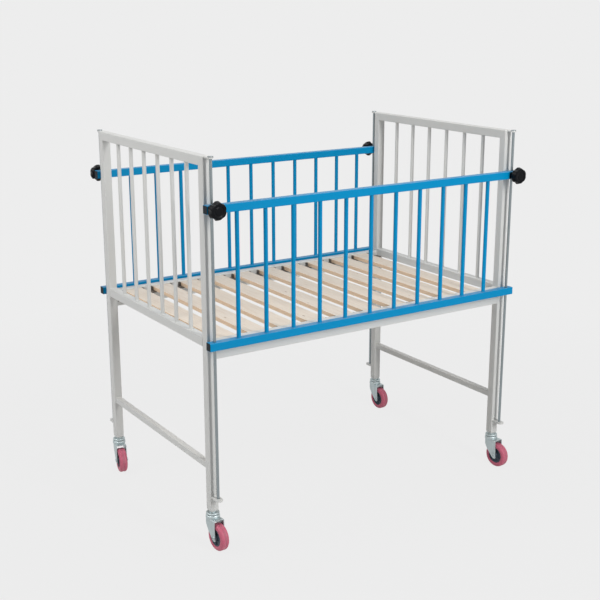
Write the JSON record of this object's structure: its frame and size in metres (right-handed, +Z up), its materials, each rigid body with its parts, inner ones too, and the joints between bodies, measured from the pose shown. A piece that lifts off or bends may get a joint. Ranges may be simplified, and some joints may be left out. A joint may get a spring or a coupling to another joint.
{
  "type": "hospital crib",
  "caption": "Barred hospital crib on swivel casters: welded end frames, slatted deck and a sliding barred guard on guide rods along each long side.",
  "frame": {"origin": "on the floor, midway between the two end frames and midway between the front and the rear posts", "axes": "+Z up, X along the crib's length with the left end frame at -X, +Y from the front guard to the rear guard"},
  "size_m": [1.0651, 0.7646, 1.0725],
  "materials": {
    "white_frame": "semi-gloss pale grey-white powder coat",
    "blue_enamel": "semi-gloss blue powder coat",
    "slat_wood": "bare planed pale softwood",
    "zinc": "bright zinc plating",
    "rod_steel": "drawn bright bar",
    "black_plastic": "matte moulded black plastic",
    "slate_plastic": "moulded slate grey plastic",
    "pink_tyre": "matte dusty pink rubber"
  },
  "bodies": {
    "frame": {"post_front_left": "white_frame", "post_front_right": "white_frame", "post_rear_left": "white_frame", "post_rear_right": "white_frame", "top_rail_left": "white_frame", "cross_rail_left": "white_frame", "stretcher_left": "white_frame", "end_bars_left": "white_frame", "top_rail_right": "white_frame", "cross_rail_right": "white_frame", "stretcher_right": "white_frame", "end_bars_right": "white_frame", "side_rail_front": "white_frame", "slat_clips_front": "black_plastic", "clip_screws_front": "zinc", "guide_rods_front": "rod_steel", "side_rail_rear": "white_frame", "slat_clips_rear": "black_plastic", "clip_screws_rear": "zinc", "guide_rods_rear": "rod_steel", "slats": "slat_wood", "upper_lugs": "white_frame", "lower_lugs": "white_frame", "rod_caps": "rod_steel", "caster_stems": "zinc", "post_inserts": "black_plastic"},
    "guard_front": {"guard_lower_rail_front": "blue_enamel", "guard_upper_rail_front": "blue_enamel", "spindles_front": "blue_enamel", "guard_end_plugs_front": "black_plastic", "clamp_inserts_front": "black_plastic"},
    "guard_rear": {"guard_lower_rail_rear": "blue_enamel", "guard_upper_rail_rear": "blue_enamel", "spindles_rear": "blue_enamel", "guard_end_plugs_rear": "black_plastic", "clamp_inserts_rear": "black_plastic"},
    "clamp_front_left": {"clamp_stud_front_left": "zinc"},
    "knob_front_left": {"knob_front_left": "black_plastic"},
    "clamp_front_right": {"clamp_stud_front_right": "zinc"},
    "knob_front_right": {"knob_front_right": "black_plastic"},
    "clamp_rear_left": {"clamp_stud_rear_left": "zinc"},
    "knob_rear_left": {"knob_rear_left": "black_plastic"},
    "clamp_rear_right": {"clamp_stud_rear_right": "zinc"},
    "knob_rear_right": {"knob_rear_right": "black_plastic"},
    "swivel_front_left": {"fork_front_left": "zinc", "axle_front_left": "zinc"},
    "wheel_front_left": {"tyre_front_left": "pink_tyre", "hub_front_left": "slate_plastic"},
    "swivel_front_right": {"fork_front_right": "zinc", "axle_front_right": "zinc"},
    "wheel_front_right": {"tyre_front_right": "pink_tyre", "hub_front_right": "slate_plastic"},
    "swivel_rear_left": {"fork_rear_left": "zinc", "axle_rear_left": "zinc"},
    "wheel_rear_left": {"tyre_rear_left": "pink_tyre", "hub_rear_left": "slate_plastic"},
    "swivel_rear_right": {"fork_rear_right": "zinc", "axle_rear_right": "zinc"},
    "wheel_rear_right": {"tyre_rear_right": "pink_tyre", "hub_rear_right": "slate_plastic"}
  },
  "joints": [
    {"name": "guard_slide_front", "type": "slide", "parent": "frame", "child": "guard_front", "axis": [0, 0, 1], "range_m": [-0.417, 0.114]},
    {"name": "guard_slide_rear", "type": "slide", "parent": "frame", "child": "guard_rear", "axis": [0, 0, 1], "range_m": [-0.417, 0.114]},
    {"name": "clamp_advance_front_left", "type": "slide", "parent": "guard_front", "child": "clamp_front_left", "axis": [0, -1, 0], "range_m": [0, 0.00188]},
    {"name": "knob_turn_front_left", "type": "hinge", "parent": "clamp_front_left", "child": "knob_front_left", "pos_m": [-0.5075, -0.3535, 0.94], "axis": [0, -1, 0], "range_deg": [0, 540]},
    {"name": "clamp_advance_front_right", "type": "slide", "parent": "guard_front", "child": "clamp_front_right", "axis": [0, -1, 0], "range_m": [0, 0.00188]},
    {"name": "knob_turn_front_right", "type": "hinge", "parent": "clamp_front_right", "child": "knob_front_right", "pos_m": [0.5075, -0.3535, 0.94], "axis": [0, -1, 0], "range_deg": [0, 540]},
    {"name": "clamp_advance_rear_left", "type": "slide", "parent": "guard_rear", "child": "clamp_rear_left", "axis": [0, 1, 0], "range_m": [0, 0.00188]},
    {"name": "knob_turn_rear_left", "type": "hinge", "parent": "clamp_rear_left", "child": "knob_rear_left", "pos_m": [-0.5075, 0.3535, 0.94], "axis": [0, 1, 0], "range_deg": [0, 540]},
    {"name": "clamp_advance_rear_right", "type": "slide", "parent": "guard_rear", "child": "clamp_rear_right", "axis": [0, 1, 0], "range_m": [0, 0.00188]},
    {"name": "knob_turn_rear_right", "type": "hinge", "parent": "clamp_rear_right", "child": "knob_rear_right", "pos_m": [0.5075, 0.3535, 0.94], "axis": [0, 1, 0], "range_deg": [0, 540]},
    {"name": "swivel_turn_front_left", "type": "hinge", "parent": "frame", "child": "swivel_front_left", "pos_m": [-0.5075, -0.31, 0.09], "axis": [0, 0, 1], "continuous": true},
    {"name": "wheel_spin_front_left", "type": "hinge", "parent": "swivel_front_left", "child": "wheel_front_left", "pos_m": [-0.50579, -0.33795, 0.038], "axis": [0.9981, 0.061, 0], "continuous": true},
    {"name": "swivel_turn_front_right", "type": "hinge", "parent": "frame", "child": "swivel_front_right", "pos_m": [0.5075, -0.31, 0.09], "axis": [0, 0, 1], "continuous": true},
    {"name": "wheel_spin_front_right", "type": "hinge", "parent": "swivel_front_right", "child": "wheel_front_right", "pos_m": [0.51062, -0.33783, 0.038], "axis": [0.9938, 0.1115, 0], "continuous": true},
    {"name": "swivel_turn_rear_left", "type": "hinge", "parent": "frame", "child": "swivel_rear_left", "pos_m": [-0.5075, 0.31, 0.09], "axis": [0, 0, 1], "continuous": true},
    {"name": "wheel_spin_rear_left", "type": "hinge", "parent": "swivel_rear_left", "child": "wheel_rear_left", "pos_m": [-0.51332, 0.28261, 0.038], "axis": [0.9781, -0.2079, 0], "continuous": true},
    {"name": "swivel_turn_rear_right", "type": "hinge", "parent": "frame", "child": "swivel_rear_right", "pos_m": [0.5075, 0.31, 0.09], "axis": [0, 0, 1], "continuous": true},
    {"name": "wheel_spin_rear_right", "type": "hinge", "parent": "swivel_rear_right", "child": "wheel_rear_right", "pos_m": [0.50818, 0.28201, 0.038], "axis": [0.9997, 0.0244, 0], "continuous": true}
  ],
  "couplings": [
    {"joint": "clamp_advance_front_left", "follows": "knob_turn_front_left", "m_per_rad": 0.00019894},
    {"joint": "clamp_advance_front_right", "follows": "knob_turn_front_right", "m_per_rad": 0.00019894},
    {"joint": "clamp_advance_rear_left", "follows": "knob_turn_rear_left", "m_per_rad": 0.00019894},
    {"joint": "clamp_advance_rear_right", "follows": "knob_turn_rear_right", "m_per_rad": 0.00019894}
  ]
}
